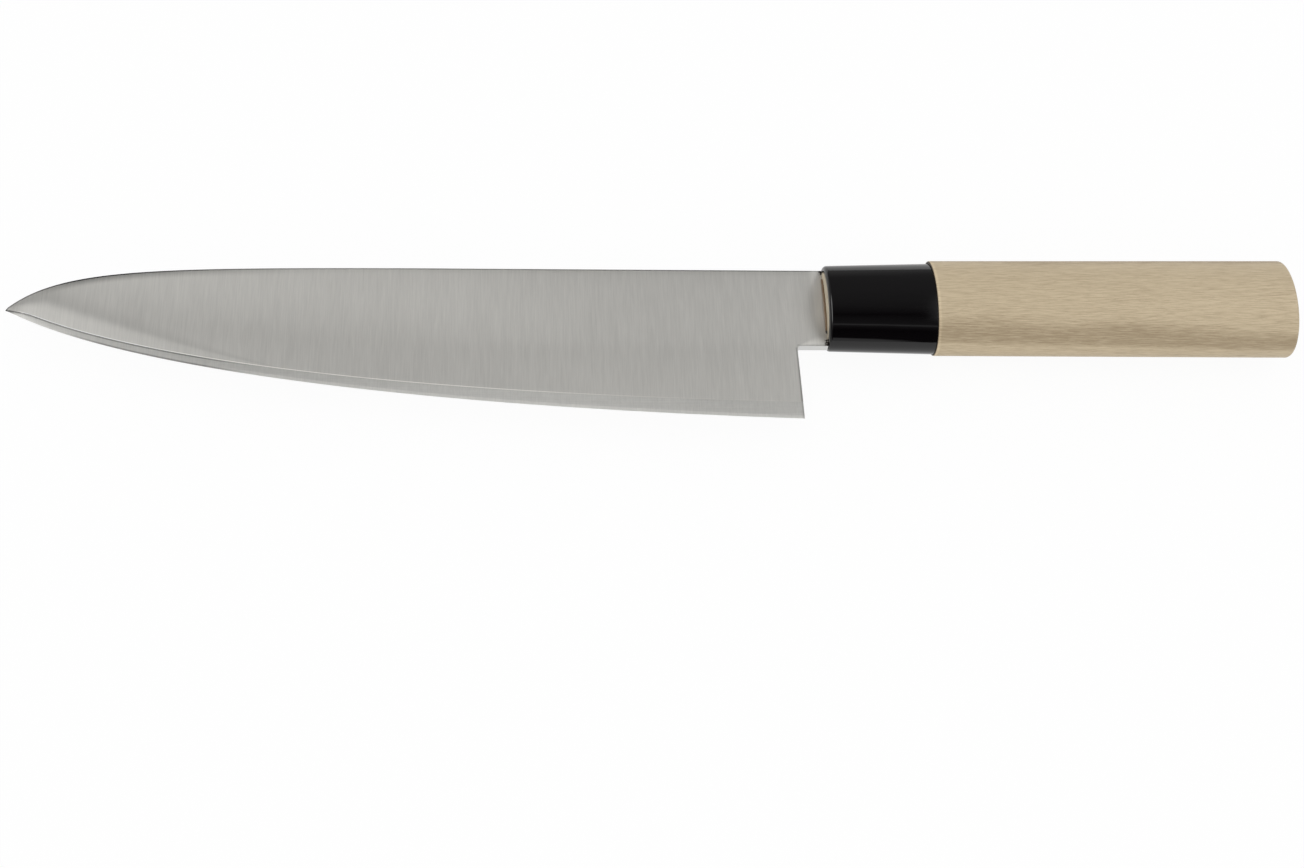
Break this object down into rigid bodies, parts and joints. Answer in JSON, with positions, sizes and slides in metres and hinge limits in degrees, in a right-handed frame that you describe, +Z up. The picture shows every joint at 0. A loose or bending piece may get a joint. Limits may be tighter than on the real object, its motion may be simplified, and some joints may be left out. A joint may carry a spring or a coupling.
{
  "type": "chef's knife",
  "caption": "Japanese-style chef's knife with a laminated blade, a hard core at the edge, a black ferrule and an oval wooden handle on a hidden tang.",
  "frame": {"origin": "under the middle of the bounding box, on the surface that the knife lies on", "axes": "+X from the tip to the butt, +Y from the cutting edge to the spine, +Z up, out of the left face of the blade"},
  "size_m": [0.3472, 0.049, 0.0202],
  "materials": {
    "core_steel": "matte ground edge steel",
    "jacket_steel": "fine brushing across the blade",
    "resin": "cured brown resin",
    "pale_wood": "bare fine-grained wood, sanded",
    "black_plastic": "polished"
  },
  "bodies": {
    "root": {"core_steel": "core_steel", "cladding_left": "jacket_steel", "cladding_right": "jacket_steel", "tang_bedding": "resin", "wood_handle": "pale_wood", "ferrule": "black_plastic"}
  },
  "joints": []
}
